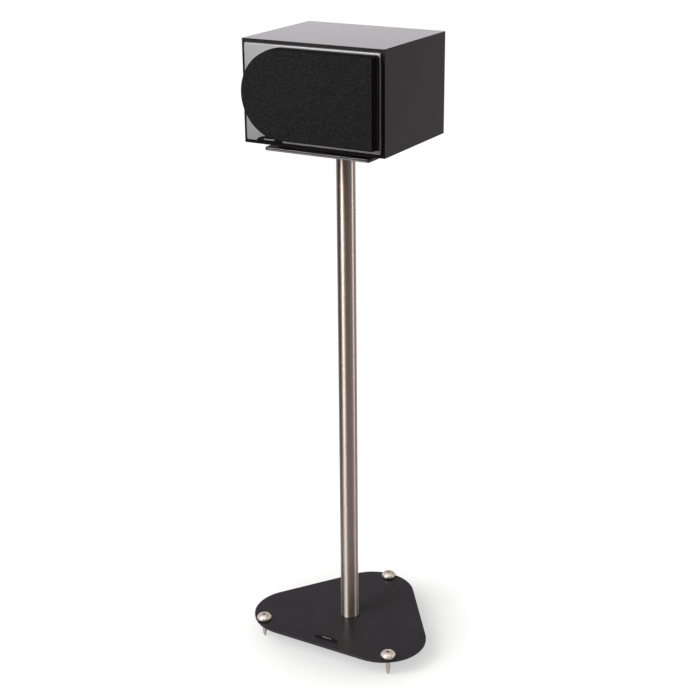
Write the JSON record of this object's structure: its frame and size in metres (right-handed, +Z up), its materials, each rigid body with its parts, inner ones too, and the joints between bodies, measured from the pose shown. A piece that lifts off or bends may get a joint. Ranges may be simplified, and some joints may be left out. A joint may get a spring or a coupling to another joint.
{
  "type": "bookshelf speaker",
  "caption": "Compact two-way bookshelf speaker, lying landscape with a half-round cloth grille, bolted to its own floor stand with a round pillar and spiked base plate.",
  "frame": {"origin": "on the floor, at the middle of the footprint's bounding box", "axes": "+Z up; the grille faces -Y; +X is to the right of someone who faces the grille"},
  "size_m": [0.264, 0.2286, 0.858],
  "materials": {
    "cabinet_black": "satin",
    "fascia_silver": "gloss",
    "bare_board": "matte",
    "black_plastic": "matte",
    "grille_cloth": "matte",
    "basket_black": "satin",
    "zinc_steel": "satin",
    "fastener_steel": "satin",
    "brushed_steel": "satin",
    "nickel": "polished",
    "stand_black": "satin",
    "rubber": "matte",
    "paper_cone": "matte",
    "spider_cloth": "matte",
    "copper": "satin",
    "ferrite": "matte",
    "film": "satin",
    "brass": "polished",
    "red_plastic": "gloss",
    "circuit_board": "satin",
    "ceramic": "matte",
    "wadding": "matte",
    "plaque": "gloss"
  },
  "bodies": {
    "stand_and_cabinet": {"cabinet_shell": "cabinet_black", "rear_panel": "cabinet_black", "front_baffle": "bare_board", "fascia_panel": "fascia_silver", "fascia_plaque": "plaque", "woofer_basket": "basket_black", "woofer_gasket": "rubber", "woofer_surround": "rubber", "woofer_spider": "spider_cloth", "woofer_pole_plate": "zinc_steel", "woofer_magnet": "ferrite", "woofer_back_pole": "zinc_steel", "woofer_screw_1": "fastener_steel", "woofer_screw_2": "fastener_steel", "woofer_screw_3": "fastener_steel", "woofer_screw_4": "fastener_steel", "tweeter_faceplate": "black_plastic", "tweeter_diaphragm": "film", "tweeter_magnet": "ferrite", "tweeter_housing": "black_plastic", "tweeter_screw_upper": "fastener_steel", "tweeter_screw_lower": "fastener_steel", "port_tube": "black_plastic", "terminal_plate": "black_plastic", "post_stem_red": "brass", "post_stem_black": "brass", "crossover_board": "circuit_board", "crossover_inductor": "copper", "crossover_capacitor": "plaque", "crossover_resistor": "ceramic", "damping_wadding": "wadding", "top_plate": "stand_black", "isolation_pad_1": "rubber", "isolation_pad_2": "rubber", "isolation_pad_3": "rubber", "isolation_pad_4": "rubber", "cabinet_bolt_left": "fastener_steel", "cabinet_bolt_right": "fastener_steel", "pillar_tube": "brushed_steel", "pillar_plug_bottom": "fastener_steel", "pillar_plug_top": "fastener_steel", "pillar_bolt_top": "fastener_steel", "pillar_bolt_bottom": "fastener_steel", "base_plate": "stand_black", "base_plaque": "plaque"},
    "grille": {"grille_frame": "black_plastic", "grille_cloth": "grille_cloth"},
    "woofer_moving_parts": {"woofer_cone": "paper_cone", "woofer_dust_cap": "paper_cone", "woofer_voice_coil": "copper"},
    "post_washer_red": {"post_washer_red": "brass"},
    "post_cap_red": {"post_cap_red": "red_plastic"},
    "post_washer_black": {"post_washer_black": "brass"},
    "post_cap_black": {"post_cap_black": "black_plastic"},
    "spike_left": {"spike_left": "nickel"},
    "spike_knob_left": {"spike_knob_left": "nickel"},
    "spike_right": {"spike_right": "nickel"},
    "spike_knob_right": {"spike_knob_right": "nickel"},
    "spike_rear": {"spike_rear": "nickel"},
    "spike_knob_rear": {"spike_knob_rear": "nickel"}
  },
  "joints": [
    {"name": "grille_pull", "type": "slide", "parent": "stand_and_cabinet", "child": "grille", "axis": [0, -1, 0], "range_m": [0, 0.03]},
    {"name": "woofer_travel", "type": "slide", "parent": "stand_and_cabinet", "child": "woofer_moving_parts", "axis": [0, -1, 0], "range_m": [-0.003, 0.003], "stiffness_N_per_m": 1200, "deforming": ["woofer_surround", "woofer_spider"]},
    {"name": "post_clamp_red", "type": "slide", "parent": "stand_and_cabinet", "child": "post_washer_red", "axis": [0, 1, 0], "range_m": [0, 0.004]},
    {"name": "post_cap_turn_red", "type": "hinge", "parent": "post_washer_red", "child": "post_cap_red", "pos_m": [-0.0305, 0.064, 0.783], "axis": [0, 1, 0], "range_deg": [0, 1800]},
    {"name": "post_clamp_black", "type": "slide", "parent": "stand_and_cabinet", "child": "post_washer_black", "axis": [0, 1, 0], "range_m": [0, 0.004]},
    {"name": "post_cap_turn_black", "type": "hinge", "parent": "post_washer_black", "child": "post_cap_black", "pos_m": [-0.0495, 0.064, 0.783], "axis": [0, 1, 0], "range_deg": [0, 1800]},
    {"name": "foot_height_left", "type": "slide", "parent": "stand_and_cabinet", "child": "spike_left", "axis": [0, 0, 1], "range_m": [0, 0.01]},
    {"name": "foot_turn_left", "type": "hinge", "parent": "spike_left", "child": "spike_knob_left", "pos_m": [-0.101, -0.088, 0.028], "axis": [0, 0, 1], "range_deg": [0, 3600]},
    {"name": "foot_height_right", "type": "slide", "parent": "stand_and_cabinet", "child": "spike_right", "axis": [0, 0, 1], "range_m": [0, 0.01]},
    {"name": "foot_turn_right", "type": "hinge", "parent": "spike_right", "child": "spike_knob_right", "pos_m": [0.101, -0.088, 0.028], "axis": [0, 0, 1], "range_deg": [0, 3600]},
    {"name": "foot_height_rear", "type": "slide", "parent": "stand_and_cabinet", "child": "spike_rear", "axis": [0, 0, 1], "range_m": [0, 0.01]},
    {"name": "foot_turn_rear", "type": "hinge", "parent": "spike_rear", "child": "spike_knob_rear", "pos_m": [0, 0.104, 0.028], "axis": [0, 0, 1], "range_deg": [0, 3600]}
  ],
  "couplings": [
    {"joint": "post_cap_turn_red", "follows": "post_clamp_red", "rad_per_m": 7853.9},
    {"joint": "post_cap_turn_black", "follows": "post_clamp_black", "rad_per_m": 7853.9},
    {"joint": "foot_turn_left", "follows": "foot_height_left", "rad_per_m": 6283.1},
    {"joint": "foot_turn_right", "follows": "foot_height_right", "rad_per_m": 6283.1},
    {"joint": "foot_turn_rear", "follows": "foot_height_rear", "rad_per_m": 6283.1}
  ]
}
